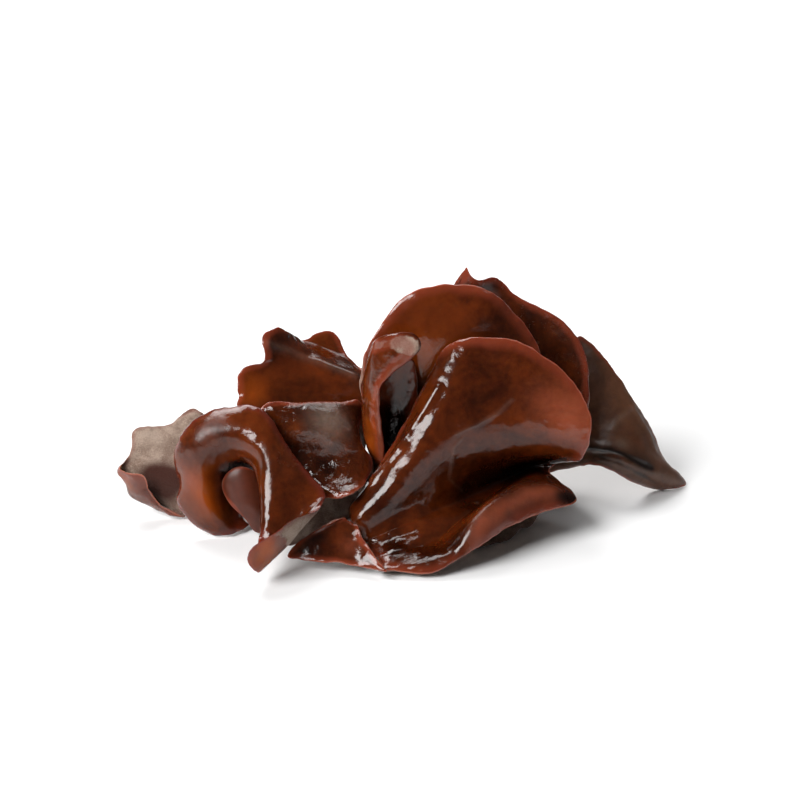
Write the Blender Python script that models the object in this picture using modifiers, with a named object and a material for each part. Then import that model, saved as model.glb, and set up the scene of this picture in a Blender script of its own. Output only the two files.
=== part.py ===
"""A clump of wood ear mushroom, cut from its log and lying on a table.

Thin rubbery ears grow from one short foot. Each ear is one curved sheet, and each
is its own object. The foot is cut flat underneath, and the lowest folds rest beside it.

Every ear is drawn as ribs that run from its root to its rim, a few points to a rib.
A point is (across, up, back) in quarters of a millimetre, as a maker would measure it
off a picture of the clump taken from a little above: to the right of the middle, up the
picture, and back along the table. The sheet is the smooth surface through the ribs.
"""

import math

import bmesh
import bpy
import numpy as np
from mathutils import Vector

CLUMP = "wood_ear_mushroom"  # name of the collection that holds the pieces

# Driving dimensions
QUARTER = 0.00025  # one unit of the layout, a quarter of a millimetre
MM = 0.001
VIEW_RISE = math.radians(25)  # how far the layout picture looks down on the table
VIEW_DISTANCE = 2220  # from the eye to the middle of the picture, in quarters
EYE_LEVEL = 144  # height above the table of the picture's middle, in quarters
SHEET = 1.6 * MM  # thickness of a fresh ear
RIM_SHARE = 0.6  # thickness at the rim, as a share of the sheet's
SOFTENING = 2  # rounds of smoothing over a sheet
RIM_WIDTH = 4 * MM  # how far from the rim a sheet has its full thickness
FOOT = (-4 * MM, 7 * MM, 3 * MM)  # middle of the round foot
FOOT_RADIUS = 9.5 * MM
ROOT_REACH = 0.9 * MM  # from the foot's skin to the middle of a root's edge
SHIFT = (-1.47 * MM, 1.58 * MM, 0.0)  # puts the origin below the middle of the clump


# Base colour and roughness of each piece
FLESH = {
    "ear_front": ((0.10, 0.022, 0.010), 0.22),
    "ear_centre": ((0.15, 0.035, 0.012), 0.25),
    "ear_curled": ((0.19, 0.045, 0.014), 0.28),
    "ear_rear": ((0.09, 0.018, 0.010), 0.30),
    "ear_right": ((0.13, 0.045, 0.024), 0.40),
    "ear_under": ((0.12, 0.070, 0.050), 0.80),
    "ear_spout": ((0.16, 0.042, 0.020), 0.25),
    "ear_left_inner": ((0.13, 0.035, 0.020), 0.35),
    "ear_front_small": ((0.09, 0.030, 0.018), 0.30),
    "ear_left_rear": ((0.20, 0.120, 0.080), 0.80),
    "ear_left_back": ((0.18, 0.050, 0.018), 0.28),
    "ear_middle": ((0.11, 0.028, 0.014), 0.22),
    "foot": ((0.12, 0.070, 0.050), 0.80),
}


def laid_out(point):
    """World position in metres of a point (across, up, back) of the layout picture."""
    across, up, back = point
    sine, cosine = math.sin(VIEW_RISE), math.cos(VIEW_RISE)
    lift = up * VIEW_DISTANCE + back * (up * cosine - VIEW_DISTANCE * sine)
    height = lift / (VIEW_DISTANCE * cosine + up * sine)
    away = VIEW_DISTANCE + back * cosine - height * sine
    x = across * away / VIEW_DISTANCE
    return np.array([x, back, height + EYE_LEVEL]) * QUARTER + np.array(SHIFT)


def on_foot(turn, climb):
    """World position just off the foot's skin, a turn from the right and a climb from level."""
    turn, climb = math.radians(turn), math.radians(climb)
    level = math.cos(climb)
    away = np.array([level * math.cos(turn), level * math.sin(turn), math.sin(climb)])
    return np.array(FOOT) + away * (FOOT_RADIUS + ROOT_REACH) + np.array(SHIFT)


def spline(points, count):
    """Points of the smooth curve through the given ones, at count even steps."""
    steps = np.linalg.norm(np.diff(points, axis=0), axis=-1)
    while steps.ndim > 1:
        steps = steps.mean(axis=-1)
    shape = (-1,) + (1,) * (points.ndim - 1)
    span = np.sqrt(steps).reshape(shape)
    slope = np.diff(points, axis=0) / span
    tangent = np.empty_like(points)
    tangent[1:-1] = (slope[:-1] * span[1:] + slope[1:] * span[:-1]) / (span[1:] + span[:-1])
    tangent[0], tangent[-1] = slope[0], slope[-1]
    reach = np.concatenate([[0.0], np.cumsum(steps)])
    wanted = np.linspace(0.0, reach[-1], count)
    index = np.clip(np.searchsorted(reach, wanted, side="right") - 1, 0, len(steps) - 1)
    t = ((wanted - reach[index]) / steps[index]).reshape(shape)
    start, end, step = points[index], points[index + 1], span[index]
    return (
        (2 * t**3 - 3 * t**2 + 1) * start
        + (t**3 - 2 * t**2 + t) * step * tangent[index]
        + (3 * t**2 - 2 * t**3) * end
        + (t**3 - t**2) * step * tangent[index + 1]
    )


def add_piece(name, mesh):
    """An object of the clump with its own material, shaded smooth."""
    rgb, roughness = FLESH[name]
    material = bpy.data.materials.new(f"{name}_flesh")
    material.use_nodes = True
    shader = material.node_tree.nodes["Principled BSDF"]
    shader.inputs["Base Color"].default_value = (*rgb, 1.0)
    shader.inputs["Roughness"].default_value = roughness
    shader.inputs["Metallic"].default_value = 0.0
    mesh.materials.append(material)
    mesh.shade_smooth()
    piece = bpy.data.objects.new(name, mesh)
    bpy.data.collections[CLUMP].objects.link(piece)
    return piece


def add_ear(name, ribs, rows, columns, root=None, sheet=SHEET, softening=SOFTENING):
    """One ear: a grid shaped to the ribs, and given the thickness of its sheet.

    Ribs run from the root to the rim. A root is a list of (turn, climb) on the foot, which
    the ribs are spread along.
    """
    cage = np.array([[laid_out(point) for point in rib] for rib in ribs])
    if root:
        place = np.linspace(0.0, len(root) - 1.0, len(ribs))
        turns = np.interp(place, range(len(root)), [turn for turn, climb in root])
        climbs = np.interp(place, range(len(root)), [climb for turn, climb in root])
        starts = np.array([[on_foot(turn, climb)] for turn, climb in zip(turns, climbs)])
        cage = np.concatenate([starts, cage], axis=1)
    across_ribs = spline(cage, columns + 1)
    surface = np.swapaxes(spline(np.swapaxes(across_ribs, 0, 1), rows + 1), 0, 1)
    for _ in range(softening):
        beside = surface[:-2, 1:-1] + surface[2:, 1:-1] + surface[1:-1, :-2] + surface[1:-1, 2:]
        surface[1:-1, 1:-1] += 0.5 * (beside / 4 - surface[1:-1, 1:-1])
    surface[..., 2] = np.maximum(surface[..., 2], sheet / 2)
    mesh = bpy.data.meshes.new(name)
    shape = bmesh.new()
    bmesh.ops.create_grid(shape, x_segments=columns, y_segments=rows, size=0.5)
    weights = []
    for vertex in shape.verts:
        column = round((vertex.co.x + 0.5) * columns)
        row = round((vertex.co.y + 0.5) * rows)
        here = surface[column, row]
        inward = min(
            np.linalg.norm(here - surface[0, row]),
            np.linalg.norm(here - surface[-1, row]),
            np.linalg.norm(here - surface[column, -1]),
        )
        weights.append(min(1.0, inward / RIM_WIDTH))
        vertex.co = here
    shape.to_mesh(mesh)
    shape.free()
    ear = add_piece(name, mesh)
    full = ear.vertex_groups.new(name="full")
    for index, weight in enumerate(weights):
        full.add([index], weight, "REPLACE")
    solid = ear.modifiers.new("sheet", "SOLIDIFY")
    solid.thickness = sheet
    solid.offset = 0.0
    solid.vertex_group = full.name
    solid.thickness_vertex_group = RIM_SHARE
    solid.use_quality_normals = True
    return ear


def ear_front():
    """The big ear in front: an upright lobe that curls under into a hollow, and a turned-out lip."""
    ribs = [
        [(-50, -108, -20), (-26, -75, -10), (-3, -38, 2), (15, -5, 14), (30, 22, 24), (38, 39, 32)],
        [(-50, -114, -34), (-23, -80, -22), (2, -40, -10), (22, -1, 2), (38, 31, 14), (45, 51, 26)],
        [(-48, -119, -44), (-14, -87, -34), (15, -45, -24), (41, -2, -12), (59, 36, 2), (70, 61, 18)],
        [(-46, -124, -48), (-4, -92, -38), (38, -48, -26), (74, -5, -14), (107, 34, 0), (121, 57, 10)],
        [(-44, -128, -50), (6, -98, -36), (56, -55, -20), (102, -18, -10), (142, 14, -6), (163, 28, 0)],
        [(-42, -131, -51), (12, -103, -34), (68, -61, -14), (120, -30, -8), (164, -12, -12), (187, -6, -10)],
        [(-40, -134, -52), (16, -106, -34), (74, -68, -8), (125, -46, -4), (168, -42, -12), (190, -34, -16)],
        [(-38, -137, -53), (18, -110, -35), (78, -76, 2), (124, -59, 12), (160, -57, 6), (180, -59, -4)],
        [(-36, -140, -54), (20, -115, -38), (80, -86, 10), (118, -70, 34), (140, -64, 34), (162, -61, 24)],
        [(-35, -140, -54), (20, -118, -40), (78, -92, 6), (112, -78, 28), (132, -72, 30), (147, -69, 24)],
        [(-34, -141, -55), (21, -121, -44), (74, -100, -4), (110, -89, 12), (140, -77, -8), (175, -97, -16)],
        [(-33, -143, -57), (20, -127, -50), (60, -114, -28), (90, -103, -12), (117, -85, -30), (140, -111, -42)],
        [(-32, -145, -58), (16, -133, -56), (46, -126, -44), (70, -118, -34), (96, -100, -54), (108, -125, -64)],
        [(-31, -147, -60), (10, -140, -64), (32, -138, -60), (50, -135, -54), (74, -121, -76), (81, -143, -86)],
        [(-30, -149, -61), (2, -147, -72), (20, -149, -73), (40, -148, -76), (63, -145, -90), (59, -158, -98)],
        [(-29, -151, -63), (-7, -151, -78), (6, -155, -84), (21, -159, -90), (37, -163, -98), (30, -173, -108)],
        [(-28, -153, -65), (-15, -154, -81), (-8, -158, -87), (-1, -162, -93), (6, -166, -99), (4, -172, -106)],
        [(-27, -156, -68), (-22, -158, -84), (-20, -161, -89), (-18, -164, -94), (-16, -167, -99), (-20, -171, -104)],
    ]
    for index, rib in enumerate(ribs):
        low = index / (len(ribs) - 1)
        rib.insert(0, (-43 + 21 * low, -103 - 46 * low, -6 - 46 * low))
    return add_ear("ear_front", ribs, rows=18, columns=26, root=[(-128, 36), (-112, 14), (-88, -2)], softening=1)


def ear_centre():
    """The tall round ear behind the front one, like a shallow bowl on edge."""
    ribs = [
        [(-2, -62, 44), (-16, -40, 52), (-30, -15, 54), (-38, 4, 52), (-39, 16, 50)],
        [(4, -60, 43), (-12, -28, 54), (-26, 5, 54), (-35, 32, 52), (-34, 50, 52)],
        [(11, -58, 42), (-3, -20, 54), (-15, 20, 54), (-22, 52, 54), (-22, 70, 56)],
        [(19, -56, 41), (11, -15, 52), (4, 30, 50), (-3, 70, 54), (-1, 97, 62)],
        [(28, -55, 40), (27, -10, 50), (26, 38, 46), (24, 84, 54), (29, 112, 68)],
        [(37, -55, 40), (44, -10, 50), (48, 40, 44), (52, 86, 54), (59, 114, 72)],
        [(46, -56, 40), (61, -12, 50), (70, 38, 46), (79, 83, 56), (87, 107, 74)],
        [(55, -58, 40), (78, -18, 50), (94, 28, 48), (105, 68, 56), (114, 85, 70)],
        [(63, -61, 41), (92, -28, 50), (112, 10, 50), (127, 43, 54), (136, 57, 62)],
        [(71, -65, 42), (105, -40, 48), (128, -12, 50), (141, 10, 52), (145, 28, 54)],
    ]
    return add_ear("ear_centre", ribs, rows=12, columns=14, root=[(62, 62), (-25, 46)])


def ear_curled():
    """The narrow ear rolled like a lily at the left of the round one."""
    ribs = [
        [(4, -58, 28), (12, -32, 34), (17, -4, 36), (17, 18, 36), (15, 38, 35)],
        [(-10, -60, 27), (-14, -37, 37), (-13, -7, 38), (-10, 26, 37), (-5, 51, 34)],
        [(-21, -63, 21), (-32, -40, 25), (-35, -10, 26), (-34, 25, 25), (-27, 56, 23)],
        [(-24, -65, 14), (-32, -42, 11), (-33, -10, 9), (-29, 22, 9), (-14, 63, 10)],
        [(-22, -66, 8), (-24, -42, 2), (-26, -10, 0), (-19, 24, 1), (12, 64, 6)],
        [(-16, -65, 4), (-17, -41, -2), (-21, -10, -4), (-16, 18, -1), (19, 50, 4)],
    ]
    return add_ear("ear_curled", ribs, rows=11, columns=12, root=[(20, 74), (100, 80), (180, 76), (250, 72)])


def ear_rear():
    """The dark ear standing behind the round one, with a small peak on its rim."""
    ribs = [
        [(34, -63, 57), (12, -32, 82), (2, 8, 94), (8, 54, 102), (28, 88, 106), (53, 110, 108)],
        [(38, -67, 56), (37, -30, 84), (36, 12, 98), (42, 64, 107), (52, 104, 111), (64, 130, 114)],
        [(42, -71, 54), (61, -34, 84), (68, 10, 99), (74, 62, 106), (77, 100, 105), (74, 118, 102)],
        [(46, -74, 53), (84, -38, 84), (98, 8, 98), (101, 55, 106), (98, 94, 110), (97, 120, 114)],
        [(48, -76, 52), (95, -41, 84), (114, 3, 96), (121, 50, 104), (117, 80, 108), (115, 101, 112)],
        [(50, -77, 51), (106, -45, 83), (131, -2, 92), (141, 38, 98), (142, 69, 102), (143, 89, 106)],
        [(52, -78, 50), (116, -49, 80), (146, -12, 87), (158, 25, 91), (164, 53, 94), (167, 72, 98)],
        [(54, -79, 49), (125, -54, 78), (157, -25, 81), (171, 7, 82), (179, 33, 84), (182, 50, 88)],
        [(56, -80, 48), (133, -59, 76), (162, -38, 76), (177, -17, 76), (185, 0, 77), (188, 17, 78)],
        [(58, -82, 47), (140, -65, 73), (163, -51, 71), (177, -40, 69), (184, -29, 68), (187, -15, 68)],
    ]
    return add_ear("ear_rear", ribs, rows=10, columns=13, root=[(52, 38), (12, 15)])


def ear_right():
    """The brown ear that arches down to the table at the right, its front edge turned under."""
    ribs = [
        [(40, -48, 88), (120, -2, 110), (152, 24, 116), (168, 46, 118), (179, 64, 118)],
        [(42, -54, 87), (130, -12, 109), (170, 16, 112), (188, 36, 114), (197, 50, 118)],
        [(44, -59, 87), (140, -22, 107), (184, 2, 104), (209, 16, 106), (221, 19, 114)],
        [(46, -64, 86), (148, -32, 104), (195, -12, 94), (222, -2, 98), (240, -12, 108)],
        [(48, -69, 86), (155, -42, 100), (202, -26, 84), (231, -22, 88), (254, -36, 100)],
        [(50, -74, 85), (159, -51, 97), (206, -39, 72), (238, -41, 80), (261, -56, 96)],
        [(52, -78, 84), (161, -57, 94), (206, -48, 58), (240, -57, 64), (275, -72, 94)],
        [(54, -82, 84), (162, -61, 92), (204, -55, 48), (240, -68, 54), (283, -83, 90)],
        [(56, -86, 83), (163, -65, 90), (201, -61, 48), (236, -78, 56), (270, -91, 82)],
        [(58, -90, 82), (165, -69, 88), (200, -66, 58), (230, -80, 64), (252, -91, 80)],
    ]
    return add_ear("ear_right", ribs, rows=11, columns=12, root=[(95, 20), (52, -4)])


def ear_under():
    """The ruffled ear tucked under the lip of the front one, its hairy side down."""
    ribs = [
        [(36, -118, -2), (62, -130, -14), (70, -141, -34), (74, -150, -52)],
        [(40, -116, 0), (74, -124, -10), (84, -135, -26), (92, -144, -40)],
        [(44, -114, 2), (86, -118, -4), (98, -129, -18), (107, -141, -32)],
        [(47, -112, 4), (97, -112, 2), (109, -121, -8), (119, -130, -16)],
        [(50, -110, 6), (106, -107, 6), (120, -115, 2), (132, -124, -4)],
        [(52, -108, 8), (114, -102, 10), (130, -107, 6), (139, -113, -2)],
    ]
    return add_ear("ear_under", ribs, rows=8, columns=8, root=[(-62, 2), (-38, 8)])


def ear_spout():
    """The ear at the front left: a round flap, a deep fold, and a spout that reaches the table."""
    ribs = [
        [(-72, -106, 14), (-132, -100, 26), (-160, -100, 14), (-160, -112, 2), (-156, -121, -4), (-152, -126, -7)],
        [(-72, -102, 12), (-138, -96, 27), (-169, -95, 8), (-176, -112, -16), (-176, -126, -24), (-173, -135, -23)],
        [(-72, -98, 10), (-144, -90, 28), (-173, -89, 5), (-187, -102, -22), (-196, -117, -28), (-201, -128, -20)],
        [(-72, -96, 9), (-147, -87, 28), (-174, -85, 5), (-190, -94, -22), (-205, -102, -26), (-219, -108, -14)],
        [(-72, -94, 8), (-150, -83, 28), (-175, -81, 5), (-191, -87, -22), (-208, -91, -24), (-225, -95, -10)],
        [(-72, -92, 7), (-152, -80, 28), (-176, -77, 5), (-193, -78, -22), (-206, -81, -22), (-217, -87, -10)],
        [(-72, -90, 6), (-154, -75, 28), (-177, -72, 5), (-194, -66, -22), (-210, -64, -20), (-226, -65, -2)],
        [(-72, -87, 4), (-155, -68, 28), (-175, -64, 3), (-188, -48, -22), (-203, -35, -14), (-217, -33, 4)],
        [(-72, -85, 1), (-151, -61, 26), (-165, -58, 0), (-173, -39, -22), (-183, -24, -10), (-192, -13, 8)],
        [(-72, -84, -2), (-144, -59, 20), (-154, -60, -8), (-155, -42, -26), (-160, -24, -12), (-164, -7, 6)],
        [(-72, -84, -5), (-135, -64, 11), (-146, -66, -18), (-140, -52, -34), (-138, -34, -22), (-136, -12, -2)],
        [(-72, -85, -8), (-129, -71, 5), (-143, -74, -32), (-132, -64, -42), (-120, -52, -32), (-114, -45, -20)],
        [(-72, -87, -11), (-123, -80, -2), (-141, -84, -42), (-130, -80, -52), (-110, -74, -44), (-94, -70, -34)],
        [(-72, -90, -14), (-120, -91, -9), (-139, -96, -54), (-128, -98, -64), (-105, -100, -58), (-77, -94, -52)],
        [(-70, -96, -17), (-117, -105, -17), (-138, -108, -63), (-128, -115, -75), (-102, -125, -72), (-83, -109, -74)],
        [(-68, -104, -20), (-113, -119, -27), (-139, -119, -71), (-129, -131, -87), (-110, -146, -92), (-102, -121, -98)],
        [(-66, -113, -23), (-110, -133, -42), (-139, -129, -79), (-133, -145, -98), (-123, -162, -109), (-124, -134, -118)],
        [(-64, -121, -26), (-107, -145, -58), (-139, -138, -90), (-141, -153, -105), (-140, -173, -119), (-152, -155, -131)],
    ]
    root = [(183, -2), (190, 22), (207, 38), (224, 22), (231, -2)]
    return add_ear("ear_spout", ribs, rows=14, columns=27, root=root)


def ear_left_inner():
    """The small smooth ear that fills the fold of the spout ear."""
    ribs = [
        [(-100, -126, 2), (-125, -130, -4), (-136, -132, -14), (-143, -132, -18), (-147, -129, -16)],
        [(-100, -123, 2), (-123, -120, -4), (-137, -120, -18), (-147, -119, -22), (-155, -118, -19)],
        [(-100, -120, 2), (-123, -109, -2), (-138, -106, -18), (-153, -105, -23), (-166, -107, -19)],
        [(-100, -117, 2), (-124, -100, 0), (-140, -92, -14), (-158, -90, -19), (-174, -93, -11)],
        [(-100, -114, 2), (-126, -92, 2), (-142, -80, -10), (-159, -76, -14), (-176, -81, -8)],
        [(-100, -111, 2), (-128, -86, 6), (-145, -72, -4), (-160, -67, -6), (-171, -71, -5)],
    ]
    return add_ear("ear_left_inner", ribs, rows=9, columns=8, root=[(203, -8), (209, 6)])


def ear_front_small():
    """The low ear in front, between the spout and the big front ear."""
    ribs = [
        [(-41, -124, -61), (-36, -140, -80), (-25, -157, -100), (-14, -172, -114)],
        [(-45, -123, -58), (-46, -141, -78), (-44, -156, -90), (-40, -167, -102)],
        [(-48, -122, -56), (-55, -139, -76), (-58, -152, -86), (-62, -163, -98)],
        [(-51, -121, -55), (-62, -136, -74), (-71, -148, -83), (-83, -162, -96)],
        [(-53, -120, -54), (-68, -132, -71), (-84, -143, -79), (-100, -159, -90)],
        [(-55, -118, -53), (-73, -127, -67), (-91, -137, -75), (-113, -156, -86)],
        [(-57, -117, -52), (-67, -120, -64), (-80, -126, -71), (-95, -136, -76)],
    ]
    return add_ear("ear_front_small", ribs, rows=8, columns=8)


def ear_left_rear():
    """The ear at the far left, hairy side up, folded like a tent and turned back at its tip."""
    ribs = [
        [(-110, -60, 56), (-160, -40, 66), (-190, -21, 76), (-199, -13, 79), (-205, -10, 81), (-210, -8, 82)],
        [(-110, -63, 55), (-162, -44, 64), (-196, -26, 71), (-208, -18, 75), (-216, -16, 77), (-222, -19, 78)],
        [(-110, -66, 54), (-164, -48, 60), (-204, -38, 62), (-220, -32, 66), (-228, -28, 69), (-234, -26, 71)],
        [(-110, -69, 52), (-166, -53, 56), (-210, -47, 56), (-234, -40, 58), (-250, -34, 62), (-262, -29, 66)],
        [(-110, -72, 50), (-168, -58, 50), (-214, -55, 46), (-240, -51, 49), (-257, -44, 53), (-269, -37, 57)],
        [(-110, -75, 48), (-170, -63, 46), (-216, -61, 38), (-242, -59, 40), (-256, -56, 44), (-265, -52, 46)],
        [(-110, -78, 46), (-172, -70, 42), (-218, -68, 30), (-252, -65, 33), (-281, -64, 38), (-282, -68, 24)],
        [(-110, -81, 44), (-174, -80, 38), (-218, -81, 24), (-252, -83, 27), (-284, -84, 29), (-259, -77, 9)],
        [(-110, -84, 43), (-176, -90, 36), (-214, -97, 22), (-244, -98, 26), (-274, -98, 26), (-256, -89, 11)],
        [(-110, -87, 42), (-178, -100, 35), (-210, -109, 20), (-224, -111, 21), (-239, -109, 22), (-242, -104, 15)],
        [(-110, -90, 41), (-180, -107, 34), (-200, -116, 17), (-208, -118, 17), (-216, -119, 17), (-220, -117, 13)],
    ]
    return add_ear("ear_left_rear", ribs, rows=13, columns=13, root=[(125, 18), (158, 2)], softening=1)


def ear_left_back():
    """The ear that stands up at the back left, its rim folded over."""
    ribs = [
        [(-15, -48, 66), (-39, -40, 58), (-70, -30, 46), (-100, -24, 34), (-132, -18, 26), (-160, -8, 20)],
        [(-14, -42, 68), (-38, -12, 60), (-70, -1, 50), (-102, 4, 44), (-136, 11, 40), (-159, 12, 36)],
        [(-13, -38, 70), (-37, -2, 62), (-70, 10, 56), (-100, 20, 54), (-132, 29, 52), (-157, 31, 44)],
        [(-12, -35, 72), (-36, 5, 65), (-68, 20, 62), (-96, 34, 63), (-120, 44, 62), (-134, 40, 52)],
        [(-11, -32, 74), (-35, 12, 70), (-64, 30, 70), (-90, 47, 73), (-114, 59, 72), (-138, 60, 62)],
        [(-10, -30, 76), (-34, 17, 76), (-59, 35, 82), (-82, 47, 88), (-104, 55, 86), (-120, 72, 78)],
        [(-9, -30, 78), (-33, 20, 82), (-55, 38, 92), (-74, 49, 100), (-92, 55, 102), (-107, 59, 96)],
        [(-8, -30, 80), (-32, 23, 88), (-47, 37, 100), (-57, 50, 110), (-63, 62, 116), (-74, 69, 118)],
    ]
    return add_ear("ear_left_back", ribs, rows=11, columns=11, root=[(112, 44), (76, 44)])


def ear_middle():
    """The glossy ear in the middle, low and dished, with a ruffled edge at the left."""
    ribs = [
        [(-36, -40, 40), (-36, -6, 46), (-64, -2, 34), (-96, -3, 22), (-132, -2, 12)],
        [(-41, -46, 28), (-42, -20, 32), (-68, -12, 18), (-98, -10, 8), (-140, -14, 8)],
        [(-41, -52, 20), (-41, -32, 14), (-66, -24, 4), (-96, -22, 2), (-132, -24, 8)],
        [(-38, -57, 10), (-38, -44, 4), (-62, -38, -2), (-90, -32, -2), (-128, -35, 0)],
        [(-32, -63, 4), (-30, -56, -1), (-56, -60, -6), (-80, -58, -2), (-116, -50, -2)],
        [(-30, -72, 0), (-30, -69, -5), (-52, -80, -25), (-74, -80, -22), (-101, -70, -12)],
        [(-36, -79, -9), (-36, -84, -27), (-47, -94, -44), (-62, -98, -44), (-78, -97, -34)],
    ]
    return add_ear("ear_middle", ribs, rows=11, columns=12, root=[(160, 56), (228, 52)])


def foot():
    """The short foot that all the ears grow from, cut flat underneath."""
    mesh = bpy.data.meshes.new("foot")
    shape = bmesh.new()
    bmesh.ops.create_uvsphere(shape, u_segments=20, v_segments=12, radius=FOOT_RADIUS)
    for vertex in shape.verts:
        vertex.co += Vector(FOOT) + Vector(SHIFT)
    bmesh.ops.bisect_plane(
        shape,
        geom=shape.verts[:] + shape.edges[:] + shape.faces[:],
        plane_co=(0, 0, 0),
        plane_no=(0, 0, -1),
        clear_outer=True,
    )
    bmesh.ops.holes_fill(shape, edges=[edge for edge in shape.edges if edge.is_boundary])
    shape.to_mesh(mesh)
    shape.free()
    stub = add_piece("foot", mesh)
    mesh.set_sharp_from_angle(angle=math.radians(40))
    return stub


def main():
    for obj in list(bpy.data.objects):
        bpy.data.objects.remove(obj)
    clump = bpy.data.collections.new(CLUMP)
    bpy.context.scene.collection.children.link(clump)
    ear_front()
    ear_centre()
    ear_curled()
    ear_rear()
    ear_right()
    ear_under()
    ear_spout()
    ear_left_inner()
    ear_front_small()
    ear_left_rear()
    ear_left_back()
    ear_middle()
    foot()


main()
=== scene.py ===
"""The looks of a clump of wood ear mushroom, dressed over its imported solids.

Each ear is a copy of its solid, made finer, rippled and creased, with one wet smooth side,
one hairy side and a thin pale rim. Lengths are metres, unless a name ends in mm.
"""

from __future__ import annotations

import logging
import math
from collections import deque
from dataclasses import dataclass
from enum import Enum

import bmesh
import bpy
import numpy as np
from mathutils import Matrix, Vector
from mathutils.bvhtree import BVHTree
from mathutils.kdtree import KDTree


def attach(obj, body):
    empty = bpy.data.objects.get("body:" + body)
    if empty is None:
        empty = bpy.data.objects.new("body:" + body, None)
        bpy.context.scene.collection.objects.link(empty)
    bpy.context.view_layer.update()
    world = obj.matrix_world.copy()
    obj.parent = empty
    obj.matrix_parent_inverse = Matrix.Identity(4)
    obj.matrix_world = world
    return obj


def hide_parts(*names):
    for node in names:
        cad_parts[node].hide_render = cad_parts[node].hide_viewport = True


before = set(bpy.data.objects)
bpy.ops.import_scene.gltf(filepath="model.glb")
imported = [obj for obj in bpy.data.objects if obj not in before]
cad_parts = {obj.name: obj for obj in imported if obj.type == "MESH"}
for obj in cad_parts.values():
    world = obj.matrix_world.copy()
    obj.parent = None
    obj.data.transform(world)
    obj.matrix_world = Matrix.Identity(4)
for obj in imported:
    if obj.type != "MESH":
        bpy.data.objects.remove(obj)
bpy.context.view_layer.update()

MM = 0.001
log = logging.getLogger("wood_ear")

Colour = tuple[float, float, float]
Place = tuple[float, float, float]


class Socket:
    """A value in a material, on which plain arithmetic adds Math nodes."""

    def __init__(self, tree: Tree, link: bpy.types.NodeSocket) -> None:
        """Keeps the tree that the value belongs to and the socket that gives it."""
        self.tree = tree
        self.link = link

    def math(self, operation: str, *terms: Socket | float) -> Socket:
        """A Math node over the given terms."""
        node = self.tree.node("ShaderNodeMath", {"operation": operation}, dict(enumerate(terms)))
        return Socket(self.tree, node.outputs[0])

    def __add__(self, other: Socket | float) -> Socket:
        """The sum of two values."""
        return self.math("ADD", self, other)

    def __radd__(self, other: float) -> Socket:
        """The sum of a number and a value."""
        return self.math("ADD", other, self)

    def __sub__(self, other: Socket | float) -> Socket:
        """The difference of two values."""
        return self.math("SUBTRACT", self, other)

    def __rsub__(self, other: float) -> Socket:
        """A number less a value."""
        return self.math("SUBTRACT", other, self)

    def __mul__(self, other: Socket | float) -> Socket:
        """The product of two values."""
        return self.math("MULTIPLY", self, other)

    def __rmul__(self, other: float) -> Socket:
        """A number times a value."""
        return self.math("MULTIPLY", other, self)

    def __truediv__(self, other: Socket | float) -> Socket:
        """The ratio of two values."""
        return self.math("DIVIDE", self, other)

    def __pow__(self, other: float) -> Socket:
        """A value raised to a power."""
        return self.math("POWER", self, other)

    def step(self, low: float, high: float) -> Socket:
        """Zero up to low and one from high on, with a smooth rise between."""
        inputs = {"Value": self, "From Min": low, "From Max": high}
        node = self.tree.node("ShaderNodeMapRange", {"interpolation_type": "SMOOTHSTEP"}, inputs)
        return Socket(self.tree, node.outputs["Result"])


class Tree:
    """The node tree of one material."""

    def __init__(self, material: bpy.types.Material) -> None:
        """Empties the material's tree and adds its output."""
        material.use_nodes = True
        self.nodes = material.node_tree.nodes
        self.links = material.node_tree.links
        self.nodes.clear()
        self.output = self.nodes.new("ShaderNodeOutputMaterial")
        self.place = self.node("ShaderNodeTexCoord").outputs["Object"]

    def node(
        self, kind: str, settings: dict[str, object] | None = None, inputs: dict | None = None
    ) -> bpy.types.Node:
        """Adds a node.

        Args:
            kind: The node's type.
            settings: Its own settings, which are set first.
            inputs: Values or links of its sockets, by name or number.

        Returns:
            The new node.
        """
        node = self.nodes.new(kind)
        for name, setting in (settings or {}).items():
            setattr(node, name, setting)
        for name, given in (inputs or {}).items():
            if isinstance(given, Socket):
                self.links.new(given.link, node.inputs[name])
            elif isinstance(given, bpy.types.NodeSocket):
                self.links.new(given, node.inputs[name])
            else:
                node.inputs[name].default_value = given
        return node

    def painted(self, name: str) -> Socket:
        """The value of one of the piece's own attributes."""
        node = self.node("ShaderNodeAttribute", {"attribute_name": name})
        return Socket(self, node.outputs["Fac"])

    def noise(self, grain: float, detail: float = 3.0, rough: float = 0.5, bend: float = 0.0) -> Socket:
        """Cloudy noise.

        Args:
            grain: The size of one cloud in metres.
            detail: How many finer layers it has.
            rough: How strong they are.
            bend: How much it is twisted.

        Returns:
            A value around one half.
        """
        inputs = {"Vector": self.place, "Scale": 1 / grain, "Detail": detail, "Roughness": rough, "Distortion": bend}
        return Socket(self, self.node("ShaderNodeTexNoise", None, inputs).outputs["Fac"])

    def blend(
        self, low: bpy.types.NodeSocket | Colour, high: bpy.types.NodeSocket | Colour, share: Socket
    ) -> bpy.types.NodeSocket:
        """A mix of two colours, all low at a share of 0 and all high at 1."""
        node = self.node("ShaderNodeMix", {"data_type": "RGBA"})
        self.links.new(share.link, node.inputs[0])
        for number, given in ((6, low), (7, high)):
            if isinstance(given, bpy.types.NodeSocket):
                self.links.new(given, node.inputs[number])
            else:
                node.inputs[number].default_value = (*given, 1.0)
        return node.outputs[2]

    def bump(self, height: Socket, depth: float, strength: float = 1.0) -> bpy.types.NodeSocket:
        """A normal bent by a height.

        Args:
            height: The height, from 0 to 1.
            depth: What a height of 1 is in metres.
            strength: How much of it is used.

        Returns:
            The normal.
        """
        node = self.node("ShaderNodeBump", None, {"Strength": strength, "Distance": depth, "Height": height})
        return node.outputs["Normal"]


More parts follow.
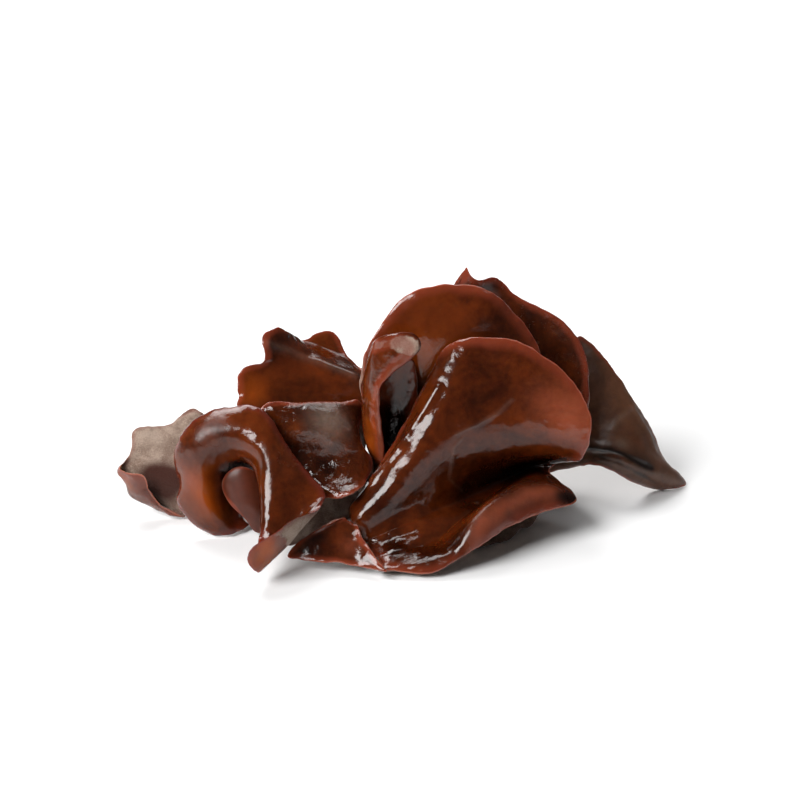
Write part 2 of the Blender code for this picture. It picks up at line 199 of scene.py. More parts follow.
@dataclass(frozen=True)
class Flesh:
    """The finish of an ear: wet on its smooth side, hairy on its outer side, pale at its rim."""

    deep: Colour = (0.024, 0.0040, 0.0010)
    warm: Colour = (0.110, 0.0190, 0.0030)
    rim: Colour = (0.190, 0.0330, 0.0140)
    # The pale rim line is partly a painted highlight along the rounded edge.
    line: Colour = (0.300, 0.0900, 0.0550)
    glow: Colour = (0.480, 0.0900, 0.0060)
    rose_and_sheen: Colour = (0.220, 0.0500, 0.0220)
    hair: Colour = (0.160, 0.0980, 0.0700)
    # The grain colour serves the light hair grains, and also the painted highlights, reflections and pale veins.
    grain: Colour = (0.430, 0.3300, 0.2600)
    warmth: float = 0.5
    gloss: float = 0.07
    through: float = 0.30
    rim_width_mm: float = 5.0
    line_width_mm: float = 0.6
    bump_mm: float = 0.13
    shine: float = 0.46

    def material(self, name: str) -> bpy.types.Material:
        """Makes the material.

        Args:
            name: The material's name.

        Returns:
            The material, which reads the piece's own attributes.
        """
        material = bpy.data.materials.new(name)
        tree = Tree(material)
        wet = self.wet(tree)
        hairy = self.hairy(tree)
        ragged = tree.painted("wetness") + 0.5 * (tree.noise(0.0012, 3.0) - 0.5)
        both = tree.node("ShaderNodeMixShader", None, {0: ragged.step(0.35, 0.65), 1: hairy, 2: wet})
        tree.links.new(both.outputs[0], tree.output.inputs["Surface"])
        return material

    def wet(self, tree: Tree) -> bpy.types.NodeSocket:
        """The smooth side: gelatinous, glossy, red-brown and a little see-through."""
        edge = tree.painted("rim_mm")
        blotch = tree.noise(0.011, 4.0, 0.55, 0.6)
        speck = tree.noise(0.0016, 4.0, 0.6)
        warm = (blotch - 0.5 + 0.35 * (speck - 0.5)) * 1.6 + self.warmth
        colour = tree.blend(self.deep, self.warm, warm.step(0.0, 1.0))
        near_rim = 1 - (edge + 3.0 * (blotch - 0.5)).step(0.6, self.rim_width_mm)
        colour = tree.blend(colour, self.rim, near_rim * 0.75)
        # Rosier patches, partly the flesh's own tone and partly painted soft sheen.
        rose_and_sheen = tree.painted("rose_and_sheen") * (0.75 + 0.5 * speck)
        colour = tree.blend(colour, self.rose_and_sheen, rose_and_sheen.step(0.0, 1.0))
        glow = tree.painted("glow") * (0.7 + 0.6 * blotch)
        colour = tree.blend(colour, self.glow, glow.step(0.0, 1.3))
        # Painted shade: darkens the colour where the painted shade attribute is set.
        colour = tree.blend(colour, tuple(0.25 * part for part in self.deep), tree.painted("painted_shade").step(0.0, 1.0))
        # Painted highlights and reflections in the grain colour, and pale veins on the front ear.
        pale = tree.painted("pale") * (0.6 + 0.8 * speck)
        colour = tree.blend(colour, self.grain, pale)
        # A pale line along the rim, partly a painted highlight on the rounded edge.
        line = 1 - (edge + 0.4 * (speck - 0.5)).step(0.35 * self.line_width_mm, self.line_width_mm)
        colour = tree.blend(colour, self.line, line * 0.8)
        rough = self.gloss + 0.10 * tree.noise(0.003, 5.0, 0.65).step(0.40, 0.75) + 0.35 * tree.painted("matte")
        ripple = tree.noise(0.0026, 4.0, 0.55, 0.5) + 0.10 * tree.noise(0.0006, 2.0, 0.5)
        inputs = {
            "Base Color": colour,
            "Roughness": rough,
            "IOR": 1.46,
            "Specular IOR Level": self.shine,
            "Subsurface Weight": self.through,
            "Subsurface Radius": (1.0, 0.26, 0.09),
            "Subsurface Scale": 0.0016,
            "Normal": tree.bump(ripple, self.bump_mm * MM),
        }
        shader = tree.node("ShaderNodeBsdfPrincipled", {"subsurface_method": "RANDOM_WALK"}, inputs)
        return shader.outputs[0]

    def hairy(self, tree: Tree) -> bpy.types.NodeSocket:
        """The outer side: velvety grey-brown hair in fine grains."""
        edge = tree.painted("rim_mm")
        grains = tree.noise(0.00040, 4.0, 0.7)
        patch = tree.noise(0.006, 5.0, 0.60, 0.5)
        light = 0.75 * patch.step(0.35, 0.65) + 0.5 * (grains - 0.5).step(-0.1, 0.25)
        colour = tree.blend(self.hair, self.grain, light.step(0.0, 1.1) * 0.7)
        # Painted light on the lit top of the hairy side, in the grain colour.
        colour = tree.blend(colour, self.grain, tree.painted("pale").step(0.0, 1.0) * 0.8)
        bare = 1 - (edge + 2.0 * (patch - 0.5)).step(0.3, 1.8)
        colour = tree.blend(colour, self.rim, bare * 0.6)
        # Painted shade on the hairy side, in its own darker brown.
        colour = tree.blend(colour, tuple(1.6 * part for part in self.deep), tree.painted("painted_shade").step(0.0, 1.0))
        inputs = {
            "Base Color": colour,
            "Roughness": 0.9 - 0.35 * bare,
            "Specular IOR Level": 0.3,
            "Sheen Weight": 0.30,
            "Sheen Roughness": 0.5,
            "Sheen Tint": (1.0, 0.92, 0.85, 1.0),
            "Normal": tree.bump(grains + 0.6 * tree.noise(0.0013, 3.0), 0.00025),
        }
        return tree.node("ShaderNodeBsdfPrincipled", None, inputs).outputs[0]


@dataclass(frozen=True)
class Table:
    """The finish of the pale floor."""

    rgb: Colour = (0.86, 0.86, 0.86)
    roughness: float = 0.7

    def material(self) -> bpy.types.Material:
        """Makes the material."""
        material = bpy.data.materials.new("pale_table")
        tree = Tree(material)
        inputs = {"Base Color": (*self.rgb, 1.0), "Roughness": self.roughness, "Specular IOR Level": 0.2}
        shader = tree.node("ShaderNodeBsdfPrincipled", None, inputs)
        tree.links.new(shader.outputs[0], tree.output.inputs["Surface"])
        return material


@dataclass
class Viewpoint:
    """The camera, and where its picture's points lie on the clump."""

    rise: float = math.radians(25)
    distance: float = 0.555
    target: Place = (-0.00147, 0.00158, 0.036)
    pixels: int = 800
    pixel: float = 0.00025
    sensor: float = 36.0

    def place(self) -> Vector:
        """Where the camera stands."""
        away = Vector((0.0, -math.cos(self.rise), math.sin(self.rise)))
        return Vector(self.target) + self.distance * away

    def ray(self, across: float, down: float) -> Vector:
        """The direction from the camera through a point of its picture, in pixels."""
        ahead = Vector((0.0, math.cos(self.rise), -math.sin(self.rise)))
        above = Vector((0.0, math.sin(self.rise), math.cos(self.rise)))
        half = self.pixels / 2
        aim = self.distance * ahead + (half - down) * self.pixel * above
        return (aim + Vector(((across - half) * self.pixel, 0.0, 0.0))).normalized()

    def move(self, step: Place) -> Place:
        """A step (right, up the picture, back along the table) in quarters of a millimetre."""
        across, up, back = step
        height = (up - back * math.sin(self.rise)) / math.cos(self.rise)
        return (across * self.pixel, back * self.pixel, height * self.pixel)

    def add(self) -> bpy.types.Object:
        """Adds the camera to the scene.

        Returns:
            The camera's object.
        """
        bpy.ops.object.select_all(action="DESELECT")
        bpy.ops.object.camera_add(location=self.place(), rotation=(math.pi / 2 - self.rise, 0.0, 0.0))
        camera = bpy.context.object
        camera.name = "camera"
        camera.data.sensor_width = self.sensor
        camera.data.lens = self.sensor * self.distance / (self.pixels * self.pixel)
        bpy.context.scene.camera = camera
        return camera


class Tone(Enum):
    """What a painted spot or stroke does to an ear."""

    GLOW = "glow"
    # Painted shade: darkens the colour in hollows, pits, grooves and under lips.
    DARK = "painted_shade"
    # Pale: painted highlights, reflections and lit tops, and on the front ear partly pale veins.
    HIGHLIGHT_AND_VEIN = "pale"
    # Rose: a rosier tone of the flesh, partly painted soft sheen.
    ROSE_AND_SHEEN = "rose_and_sheen"
    MATTE = "matte"
    WET = "wet"
    HAIR = "hair"


@dataclass(frozen=True)
class Spot:
    """A soft patch on an ear, where the photograph shows one."""

    across: float
    down: float
    reach_mm: float
    tone: Tone = Tone.GLOW
    strength: float = 1.0


@dataclass(frozen=True)
class Crease:
    """A ridge or a groove along a line of the photograph."""

    line: tuple[tuple[float, float], ...]
    height_mm: float
    width_mm: float = 0.8
    tone: Tone | None = None
    strength: float = 0.6


@dataclass(frozen=True)
class Pull:
    """A pinch of a sheet that is drawn to another place, both its sides together.

    The move is (across, up, back) in quarters of a millimetre: right and up the picture,
    and back along the table.
    """

    across: float
    down: float
    move: Place
    reach_mm: float = 4.0


@dataclass
class Ear:
    """One ear, made finer from its solid."""

    node: str
    slot: str = "wet_flesh"
    flesh: Flesh = Flesh()
    smooth_side: Place = (0.0, -1.0, 0.3)
    levels: int = 3
    wave_mm: float = 0.5
    ruffle_mm: float = 0.8
    ripple_mm: float = 0.10
    hair_mm: float = 0.06
    thinning_mm: float = 0.18
    outer_wet: float = 0.0
    pulls: tuple[Pull, ...] = ()
    spots: tuple[Spot, ...] = ()
    creases: tuple[Crease, ...] = ()

    def build(self, view: Viewpoint) -> bpy.types.Object:
        """Makes the ear's piece in place of its node.

        Args:
            view: The viewpoint that the spots and creases are given from.

        Returns:
            The finished piece.
        """
        piece = copy_of_node(self.node)
        self.part_sides(piece)
        subdivide(piece, self.levels)
        self.pull(piece, view)
        self.paint(piece, view)
        self.ripple(piece)
        piece.data.shade_smooth()
        piece.data.materials.clear()
        piece.data.materials.append(self.flesh.material(f"{self.node}_flesh"))
        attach(piece, "root")
        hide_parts(self.node)
        log.info("%s: %d faces", piece.name, len(piece.data.polygons))
        return piece

    def part_sides(self, piece: bpy.types.Object) -> None:
        """Gives the vertices of the smooth side full weight in the group wet.

        The faces are parted at sharp edges, and the two largest parts are the ear's sides.
        """
        shape = bmesh.new()
        shape.from_mesh(piece.data)
        shape.faces.index_update()
        for degrees in (60, 54, 48, 42, 37, 32, 28, 24):
            parts = parts_of(shape, math.radians(degrees))
            if len(parts) > 1 and len(parts[1]) > 0.72 * len(parts[0]):
                break
        faces = list(shape.faces)
        facing = Vector(self.smooth_side)
        lean = []
        for part in parts[:2]:
            lean.append(sum((faces[index].normal.dot(facing) * faces[index].calc_area() for index in part)))
        smooth, hairy = (parts[0], parts[1]) if lean[0] > lean[1] else (parts[1], parts[0])
        weights = np.full(len(shape.verts), 0.5)
        for part, weight in ((hairy, 0.0), (smooth, 1.0)):
            for index in part:
                for vertex in faces[index].verts:
                    weights[vertex.index] = weight
        shape.free()
        add_group(piece, "wet", weights)
        log.info("%s: parted at %d degrees, %d and %d faces", piece.name, degrees, len(smooth), len(hairy))

    def pull(self, piece: bpy.types.Object, view: Viewpoint) -> None:
        """Draws pinches of the sheet to their places."""
        mesh = piece.data
        for pull in self.pulls:
            surface = BVHTree.FromObject(piece, bpy.context.evaluated_depsgraph_get())
            centre = hit(surface, view, pull.across, pull.down)
            if centre is None:
                log.warning("%s: the pull at %s, %s misses", self.node, pull.across, pull.down)
                continue
            points = places_of(mesh)
            away = np.linalg.norm(points - centre, axis=1) / (pull.reach_mm * MM)
            points += np.exp(-1.5 * away**2)[:, None] * np.array(view.move(pull.move))
            mesh.vertices.foreach_set("co", points.astype(np.float32).ravel())
            mesh.update()

    def paint(self, piece: bpy.types.Object, view: Viewpoint) -> None:
        """Writes the attributes that the finish reads, and raises the creases."""
        mesh = piece.data
        points = places_of(mesh)
        normals = np.empty(len(mesh.vertices) * 3)
        mesh.vertices.foreach_get("normal", normals)
        normals = normals.reshape(-1, 3)
        wet = weights_of(piece, "wet")
        middle = points[(wet > 0.3) & (wet < 0.7)]
        edge = distances(points, middle) / MM
        tones = {tone.value: np.zeros(len(points)) for tone in Tone}
        surface = BVHTree.FromObject(piece, bpy.context.evaluated_depsgraph_get())
        for spot in self.spots:
            centre = hit(surface, view, spot.across, spot.down)
            if centre is None:
                log.warning("%s: the spot at %s, %s misses", self.node, spot.across, spot.down)
                continue
            away = np.linalg.norm(points - centre, axis=1) / (spot.reach_mm * MM)
            tones[spot.tone.value] += spot.strength * np.exp(-1.5 * away**2)
        lift = -self.thinning_mm * MM * np.exp(-((edge / 1.5) ** 2))
        for crease in self.creases:
            course = [hit(surface, view, *point) for point in crease.line]
            if any(point is None for point in course):
                log.warning("%s: the crease at %s misses", self.node, crease.line[0])
                continue
            dense = smooth_line(np.array(course), 0.25 * MM)
            profile = np.exp(-((distances(points, dense) / (crease.width_mm * MM)) ** 2))
            lift += crease.height_mm * MM * profile * (2 * wet - 1)
            if crease.tone:
                tones[crease.tone.value] += crease.strength * profile
        places = points + normals * lift[:, None]
        mesh.vertices.foreach_set("co", places.astype(np.float32).ravel())
        mesh.update()
        add_group(piece, "rim", np.exp(-edge / self.flesh.rim_width_mm))
        dry = tones.pop(Tone.HAIR.value)
        wetness = np.maximum(wet, self.outer_wet) + tones.pop(Tone.WET.value) - dry
        for name, values in {"rim_mm": edge, "wetness": np.minimum(wetness, 1.0), **tones}.items():
            attribute = mesh.attributes.new(name=name, type="FLOAT", domain="POINT")
            attribute.data.foreach_set("value", np.clip(values, 0, None).astype(np.float32))

    def ripple(self, piece: bpy.types.Object) -> None:
        """Waves the whole sheet a little, and roughens each side in its own way."""
        add_group(piece, "dry", 1.0 - weights_of(piece, "wet"))
        displace(piece, "wave", 9 * MM, self.wave_mm * MM, coloured=True)
        displace(piece, "ruffle", 4.5 * MM, self.ruffle_mm * MM, group="rim", coloured=True)
        displace(piece, "ripple", 2.6 * MM, self.ripple_mm * MM, group="wet")
        displace(piece, "hair", 0.9 * MM, self.hair_mm * MM, group="dry")
        places = places_of(piece.data)
        places[:, 2] = np.maximum(places[:, 2], 0.0)
        piece.data.vertices.foreach_set("co", places.astype(np.float32).ravel())


def parts_of(shape: bmesh.types.BMesh, angle: float) -> list[list[int]]:
    """The face numbers of each part of a mesh, parted at edges sharper than an angle.

    Args:
        shape: The mesh.
        angle: The angle in radians.

    Returns:
        The parts, the one with the most faces first.
    """
    seen: set[int] = set()
    parts = []
    for start in shape.faces:
        if start.index in seen:
            continue
        seen.add(start.index)
        part = []
        queue = deque([start])
        while queue:
            face = queue.popleft()
            part.append(face.index)
            for edge in face.edges:
                if len(edge.link_faces) != 2 or edge.calc_face_angle() > angle:
                    continue
                for other in edge.link_faces:
                    if other.index not in seen:
                        seen.add(other.index)
                        queue.append(other)
        parts.append(part)
    return sorted(parts, key=len, reverse=True)


def add_group(piece: bpy.types.Object, name: str, weights: np.ndarray) -> None:
    """Adds a vertex group with one weight for each vertex."""
    group = piece.vertex_groups.new(name=name)
    for index, weight in enumerate(weights):
        group.add([index], float(weight), "REPLACE")


def weights_of(piece: bpy.types.Object, name: str) -> np.ndarray:
    """Each vertex's weight in a group, with 0 for those outside it."""
    number = piece.vertex_groups[name].index
    weights = np.zeros(len(piece.data.vertices))
    for vertex in piece.data.vertices:
        for member in vertex.groups:
            if member.group == number:
                weights[vertex.index] = member.weight
    return weights


def places_of(mesh: bpy.types.Mesh) -> np.ndarray:
    """The places of a mesh's vertices, one row each."""
    places = np.empty(len(mesh.vertices) * 3)
    mesh.vertices.foreach_get("co", places)
    return places.reshape(-1, 3)


def distances(points: np.ndarray, others: np.ndarray) -> np.ndarray:
    """How far each point is from the nearest of some others."""
    tree = KDTree(len(others))
    for index, other in enumerate(others):
        tree.insert(other, index)
    tree.balance()
    return np.array([tree.find(point)[2] for point in points])


def smooth_line(course: np.ndarray, spacing: float) -> np.ndarray:
    """Evenly spaced points along the line through a few points."""
    steps = np.linalg.norm(np.diff(course, axis=0), axis=1)
    reach = np.concatenate([[0.0], np.cumsum(steps)])
    wanted = np.linspace(0.0, reach[-1], max(2, int(reach[-1] / spacing)))
    return np.stack([np.interp(wanted, reach, course[:, axis]) for axis in range(3)], axis=1)


def hit(surface: BVHTree, view: Viewpoint, across: float, down: float) -> np.ndarray | None:
    """Where a point of the photograph lies on a surface."""
    place = surface.ray_cast(view.place(), view.ray(across, down))[0]
    return None if place is None else np.array(place)


def make_active(piece: bpy.types.Object) -> None:
    """Selects a piece alone and makes it active."""
    bpy.ops.object.select_all(action="DESELECT")
    piece.select_set(True)
    bpy.context.view_layer.objects.active = piece


def copy_of_node(node: str) -> bpy.types.Object:
    """A copy of a node's solid, as a closed mesh of quads.

    Args:
        node: The node's name.

    Returns:
        The copy, at the origin.
    """
    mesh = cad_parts[node].data.copy()
    piece = bpy.data.objects.new(f"{node}_dressed", mesh)
    bpy.context.scene.collection.objects.link(piece)
    make_active(piece)
    bpy.ops.object.mode_set(mode="EDIT")
    bpy.ops.mesh.select_all(action="SELECT")
    bpy.ops.mesh.remove_doubles(threshold=0.001 * MM)
    bpy.ops.mesh.tris_convert_to_quads(face_threshold=math.radians(40), shape_threshold=math.radians(120))
    bpy.ops.object.mode_set(mode="OBJECT")
    return piece


def subdivide(piece: bpy.types.Object, levels: int, rounds: int = 3) -> None:
    """Makes a piece finer and rounder, its surface still through the corners it had.

    Args:
        piece: The piece.
        levels: How many times each face is split.
        rounds: How many times the corners are moved out to make up for the rounding.
    """
    finer = piece.modifiers.new("finer", "SUBSURF")
    finer.levels = 1
    finer.render_levels = 1
    corners = places_of(piece.data)
    cage = corners.copy()
    for _ in range(rounds):
        seen = piece.evaluated_get(bpy.context.evaluated_depsgraph_get())
        rounded = places_of(seen.data)[: len(corners)]
        cage += 0.9 * (corners - rounded)
        piece.data.vertices.foreach_set("co", cage.astype(np.float32).ravel())
        piece.data.update()
        piece.update_tag()
    finer.levels = levels
    finer.render_levels = levels
    make_active(piece)
    bpy.ops.object.modifier_apply(modifier=finer.name)


def displace(
    piece: bpy.types.Object, name: str, grain: float, depth: float, group: str = "", coloured: bool = False
) -> None:
    """Moves a piece's surface by cloudy noise.

    Args:
        piece: The piece.
        name: The name of the noise.
        grain: The size of one cloud.
        depth: How far the noise moves the surface in all.
        group: The vertex group that it acts on.
        coloured: Whether it moves along all three axes, so that both sides of a sheet move together.
    """
    if not depth:
        return
    make_active(piece)
    texture = bpy.data.textures.new(f"{piece.name}_{name}", "CLOUDS")
    texture.noise_scale = grain
    texture.noise_depth = 2
    texture.cloud_type = "COLOR" if coloured else "GRAYSCALE"
    push = piece.modifiers.new(name, "DISPLACE")
    push.texture = texture
    push.texture_coords = "LOCAL"
    push.direction = "RGB_TO_XYZ" if coloured else "NORMAL"
    push.strength = depth
    push.mid_level = 0.5
    push.vertex_group = group
    bpy.ops.object.modifier_apply(modifier=push.name)


@dataclass
class Foot:
    """The short foot, rough and brown, cut flat underneath."""

    node: str = "foot"
    lumps_mm: float = 0.6

    def build(self) -> bpy.types.Object:
        """Makes the foot's piece in place of its node."""
        piece = copy_of_node(self.node)
        mesh = piece.data
        make_active(piece)
        subdivide(piece, 2)
        places = places_of(mesh)
        places[:, 2] = np.maximum(places[:, 2], 0.0)
        mesh.vertices.foreach_set("co", places.astype(np.float32).ravel())
        add_group(piece, "lumps", np.clip(places[:, 2] / MM, 0.0, 1.0))
        displace(piece, "lumps", 4 * MM, self.lumps_mm * MM, group="lumps")
        mesh.shade_smooth()
        for name, value in (("rim_mm", 9.0), ("wetness", 0.0), ("painted_shade", 0.0), ("pale", 0.0)):
            attribute = mesh.attributes.new(name=name, type="FLOAT", domain="POINT")
            attribute.data.foreach_set("value", np.full(len(mesh.vertices), value, dtype=np.float32))
        mesh.materials.clear()
        mesh.materials.append(Flesh().material("foot_flesh"))
        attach(piece, "root")
        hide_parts(self.node)
        log.info("%s: %d faces", piece.name, len(mesh.polygons))
        return piece


@dataclass(frozen=True)
class Softbox:
    """A square soft light over the table."""

    name: str
    side: float
    place: Place
    power: float
    aim: Place = (0.0, 0.0, 0.0)

    def add(self) -> None:
        """Adds the light."""
        bpy.ops.object.select_all(action="DESELECT")
        bpy.ops.object.light_add(type="AREA", location=self.place)
        lamp = bpy.context.object
        lamp.name = self.name
        lamp.data.shape = "SQUARE"
        lamp.data.size = self.side
        lamp.data.energy = self.power
        lamp.rotation_euler = (Vector(self.aim) - Vector(self.place)).to_track_quat("-Z", "Y").to_euler()


@dataclass
class Studio:
    """The pale table and the soft light."""

    table: Table = Table()
    table_side: float = 6.0
    boxes: tuple[Softbox, ...] = (
        Softbox("key_softbox", 0.65, (-0.72, -0.50, 0.80), 20.0),
        Softbox("back_softbox", 0.50, (-0.30, 0.50, 0.90), 5.5),
        Softbox("backdrop_light", 1.60, (0.0, 1.50, 1.20), 20.0, (0.0, 1.50, 0.0)),
    )
    sky: float = 0.07

    def add(self) -> None:
        """Adds the table, the light and the world."""
        bpy.ops.object.select_all(action="DESELECT")
        bpy.ops.mesh.primitive_plane_add(size=self.table_side)
        table = bpy.context.object
        table.name = "table"
        table.data.materials.append(self.table.material())
        for box in self.boxes:
            box.add()
        world = bpy.data.worlds.new("soft_white")
        world.use_nodes = True
        world.node_tree.nodes["Background"].inputs["Color"].default_value = (1.0, 1.0, 1.0, 1.0)
        world.node_tree.nodes["Background"].inputs["Strength"].default_value = self.sky
        bpy.context.scene.world = world
        bpy.context.scene.view_settings.view_transform = "Standard"


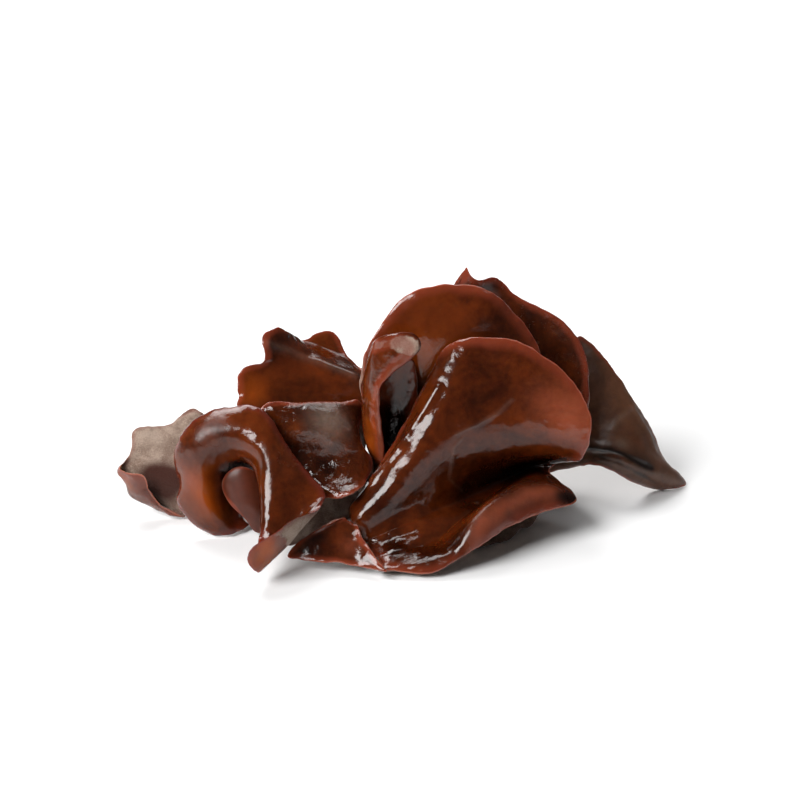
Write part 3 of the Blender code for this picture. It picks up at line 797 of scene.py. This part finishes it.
def ears() -> list[Ear]:
    """The ears, from the front to the back."""
    glow, painted_shade, pale, rose_and_sheen, matte = Tone.GLOW, Tone.DARK, Tone.HIGHLIGHT_AND_VEIN, Tone.ROSE_AND_SHEEN, Tone.MATTE
    wet, hair = Tone.WET, Tone.HAIR
    return [
        Ear(
            "ear_front",
            flesh=Flesh(warmth=0.42, rim_width_mm=4.0),
            pulls=(
                Pull(500, 350, (0, 0, 20), 22.0),
                Pull(570, 380, (0, 0, 10), 14.0),
            ),
            spots=(
                Spot(470, 470, 6, glow, 0.12),
                Spot(435, 495, 6, glow, 0.20),
                Spot(530, 430, 8, glow, 0.14),
                Spot(395, 462, 5, glow, 0.12),
                # Rosier tone with painted soft sheen near the right rim.
                Spot(545, 400, 9, rose_and_sheen, 0.40),
                Spot(575, 420, 8, rose_and_sheen, 0.75),
                Spot(585, 390, 6, rose_and_sheen, 0.30),
                Spot(500, 350, 6, rose_and_sheen, 0.15),
                # Painted shade in the hollow under the upper lobe, along the bottom and under the lip.
                Spot(520, 470, 8, painted_shade, 0.95),
                Spot(550, 462, 6, painted_shade, 0.95),
                Spot(485, 480, 8, painted_shade, 0.60),
                Spot(500, 490, 6, painted_shade, 0.80),
                Spot(470, 510, 6, painted_shade, 0.60),
                Spot(460, 540, 6, painted_shade, 0.60),
                Spot(430, 555, 7, painted_shade, 0.60),
                Spot(395, 548, 6, painted_shade, 0.70),
                Spot(455, 460, 5, painted_shade, 0.30),
                Spot(573, 499, 4, painted_shade, 0.90),
                Spot(560, 497, 3, painted_shade, 0.60),
                Spot(530, 498, 5, matte, 1.0),
                Spot(510, 508, 5, matte, 1.0),
                Spot(490, 522, 5, matte, 1.0),
                Spot(477, 540, 4, matte, 0.8),
                Spot(555, 495, 5, matte, 1.0),
            ),
            creases=(
                Crease(((352, 508), (368, 488), (383, 468), (397, 450), (411, 431), (426, 408), (438, 388)), 0.55, 1.0),
                # Pale veins, each with a painted highlight along it.
                Crease(((512, 400), (500, 411), (488, 418), (476, 426), (464, 430), (456, 434)), 0.15, 0.5, pale, 0.06),
                Crease(((461, 440), (454, 448), (453, 462), (450, 478), (462, 490), (478, 503)), 0.15, 0.4, pale, 0.06),
                # A groove with painted shade in it, then a rosier band with painted soft sheen along the lip.
                Crease(((585, 415), (570, 413), (555, 411), (545, 412)), -0.20, 0.8, painted_shade, 0.20),
                Crease(((470, 543), (484, 525), (504, 508), (528, 494), (550, 491), (560, 494)), 0.0, 2.4, rose_and_sheen, 0.8),
            ),
        ),
        Ear(
            "ear_centre",
            flesh=Flesh(warmth=0.60, rim_width_mm=4.0),
            pulls=(
                Pull(388, 300, (0, 0, 20), 14.0),
                Pull(486, 305, (0, 0, -6), 6.0),
            ),
            spots=(
                Spot(430, 350, 10, glow, 0.25),
                Spot(425, 368, 6, glow, 0.30),
                Spot(364, 370, 4, glow, 0.35),
                Spot(400, 370, 6, glow, 0.20),
                # Rosier tone with painted soft sheen near the right rim.
                Spot(530, 330, 8, rose_and_sheen, 0.35),
            ),
        ),
        Ear(
            "ear_curled",
            flesh=Flesh(warmth=0.55, rim_width_mm=2.0, line=(0.16, 0.04, 0.02)),
            outer_wet=1.0,
            spots=(
                Spot(371, 400, 4, glow, 0.30),
                Spot(371, 425, 4, glow, 0.45),
                Spot(371, 445, 4, glow, 0.50),
                Spot(372, 375, 4, glow, 0.15),
                Spot(400, 375, 4, glow, 0.30),
                Spot(404, 345, 2.6, hair, 0.90),
                Spot(412, 347, 2.6, hair, 0.90),
                Spot(394, 343, 2.6, hair, 0.60),
                # Painted shade on the curl's downturned face and in the hollow behind it.
                Spot(385, 345, 3.0, painted_shade, 0.35),
                Spot(396, 430, 5, painted_shade, 0.95),
                Spot(398, 450, 5, painted_shade, 0.95),
                Spot(392, 410, 4, painted_shade, 0.80),
            ),
        ),
        Ear("ear_rear", flesh=Flesh(warmth=0.30, rim_width_mm=2.5, gloss=0.22, line=(0.12, 0.03, 0.02))),
        Ear(
            "ear_right",
            slot="satin_flesh",
            flesh=Flesh(
                deep=(0.055, 0.0200, 0.0090),
                warm=(0.140, 0.0560, 0.0280),
                warmth=0.50,
                gloss=0.36,
                rim_width_mm=1.5,
                line=(0.18, 0.08, 0.05),
            ),
            spots=(
                Spot(640, 445, 3.5, glow, 0.20),
                Spot(632, 430, 3.0, glow, 0.12),
                # A painted glint, and painted shade under the rolled rim.
                Spot(622, 444, 2.0, pale, 0.15),
                Spot(640, 455, 5.0, painted_shade, 0.45),
                Spot(650, 470, 4.0, painted_shade, 0.45),
                Spot(600, 456, 4.0, painted_shade, 0.40),
            ),
            creases=(
                # Ridges with painted highlights along them, and grooves with painted shade in them.
                Crease(((612, 430), (620, 418), (634, 406)), 0.30, 0.7, pale, 0.10),
                Crease(((634, 410), (643, 424), (651, 437), (655, 450)), 0.35, 0.6, pale, 0.10),
                Crease(((589, 447), (603, 449), (620, 452), (634, 459), (650, 467)), -0.60, 0.8, painted_shade, 0.90),
                Crease(((600, 457), (620, 463), (640, 474), (658, 485)), -0.30, 0.5, painted_shade, 0.50),
            ),
        ),
        Ear(
            "ear_under",
            slot="hairy_flesh",
            smooth_side=(0.0, 0.0, 1.0),
            flesh=Flesh(rim=(0.13, 0.06, 0.04), hair=(0.080, 0.0460, 0.0300), grain=(0.18, 0.12, 0.085)),
            spots=(Spot(505, 528, 22, hair, 3.0),),
            ruffle_mm=1.4,
        ),
        Ear(
            "ear_spout",
            flesh=Flesh(warmth=0.55, rim_width_mm=3.0, rim=(0.12, 0.018, 0.010), line=(0.13, 0.03, 0.022)),
            spots=(
                Spot(204, 470, 4, glow, 0.35),
                Spot(207, 490, 5, glow, 0.60),
                Spot(213, 510, 5, glow, 0.45),
                Spot(190, 480, 4, rose_and_sheen, 0.45),
                Spot(220, 460, 4, glow, 0.20),
                Spot(232, 458, 4, glow, 0.15),
                Spot(266, 545, 4, glow, 0.30),
                Spot(262, 558, 6, wet, 1.0),
                Spot(258, 565, 5, wet, 1.0),
                Spot(275, 550, 5, wet, 1.0),
                Spot(262, 562, 6, glow, 0.50),
                Spot(275, 548, 5, glow, 0.25),
                # Painted shade low on the flap.
                Spot(205, 525, 4, painted_shade, 0.30),
                Spot(205, 433, 6, matte, 0.8),
                Spot(222, 426, 4, matte, 0.4),
                Spot(285, 450, 6, matte, 0.4),
                Spot(290, 470, 6, matte, 0.4),
            ),
            creases=(
                # A raised fold with painted shade along it.
                Crease(((322, 500), (309, 512), (297, 519), (284, 526), (270, 534), (256, 546)), 0.35, 0.5, painted_shade, 0.6),
            ),
        ),
        Ear(
            "ear_left_inner",
            slot="satin_flesh",
            flesh=Flesh(
                deep=(0.055, 0.0110, 0.0045), warm=(0.120, 0.0230, 0.0080), gloss=0.36, rim_width_mm=1.0, bump_mm=0.05
            ),
            wave_mm=0.2,
            ruffle_mm=0.1,
            ripple_mm=0.03,
            outer_wet=1.0,
        ),
        Ear(
            "ear_front_small",
            smooth_side=(0.0, -0.3, 1.0),
            flesh=Flesh(warmth=0.30, rim_width_mm=2.0),
            # Painted shade inside, and a rosier band with painted soft sheen.
            spots=(Spot(318, 540, 5, painted_shade, 0.6), Spot(352, 545, 5, rose_and_sheen, 0.4)),
        ),
        Ear(
            "ear_left_rear",
            slot="hairy_flesh",
            smooth_side=(0.0, 1.0, -0.5),
            flesh=Flesh(warmth=0.6, rim=(0.16, 0.035, 0.018)),
            ruffle_mm=1.2,
            spots=(
                # Painted light on the lit top, and painted shade on the face below the crease.
                Spot(150, 440, 6, pale, 0.30),
                Spot(175, 435, 6, pale, 0.20),
                Spot(150, 478, 5, painted_shade, 0.85),
                Spot(165, 478, 5, painted_shade, 0.85),
                Spot(165, 495, 5, painted_shade, 0.60),
                Spot(180, 480, 5, painted_shade, 0.60),
                Spot(123, 474, 3, wet, 1.2),
                Spot(125, 487, 3, wet, 1.2),
                Spot(134, 482, 3, wet, 1.0),
                Spot(124, 478, 4, glow, 0.35),
                Spot(130, 488, 3, glow, 0.25),
            ),
        ),
        Ear(
            "ear_left_back",
            flesh=Flesh(warmth=0.55, rim_width_mm=2.0, line=(0.16, 0.04, 0.025)),
            ruffle_mm=1.2,
            pulls=(
                Pull(325, 350, (0, 0, 16), 12.0),
                Pull(300, 345, (0, 0, 8), 8.0),
            ),
            spots=(
                Spot(254, 385, 6, glow, 0.30),
                Spot(252, 397, 5, glow, 0.25),
                Spot(285, 400, 7, glow, 0.12),
                # Painted shade in the middle.
                Spot(300, 382, 6, painted_shade, 0.25),
                Spot(283, 330, 4, glow, 0.20),
                Spot(318, 337, 4, glow, 0.20),
            ),
            creases=(
                # A ridge with a painted highlight along its top.
                Crease(((268, 344), (290, 352), (320, 362), (354, 376)), 0.5, 1.2, pale, 0.08),
            ),
        ),
        Ear(
            "ear_middle",
            flesh=Flesh(warmth=0.35, gloss=0.05, rim_width_mm=2.0, bump_mm=0.30),
            ripple_mm=0.25,
            pulls=(
                Pull(300, 400, (0, 0, 14), 12.0),
            ),
            spots=(
                # Painted shade in the pit, and a painted reflection on the upturned face.
                Spot(330, 470, 4, painted_shade, 0.70),
                Spot(318, 462, 3, painted_shade, 0.5),
                Spot(296, 428, 3, glow, 0.3),
                Spot(330, 420, 6, pale, 0.25),
            ),
        ),
    ]


def main() -> None:
    """Builds the clump, its table and its light."""
    logging.basicConfig(level=logging.INFO, format="%(name)s: %(message)s")
    view = Viewpoint()
    view.add()
    Studio().add()
    for ear in ears():
        ear.build(view)
    Foot().build()


if __name__ == "__main__":
    main()
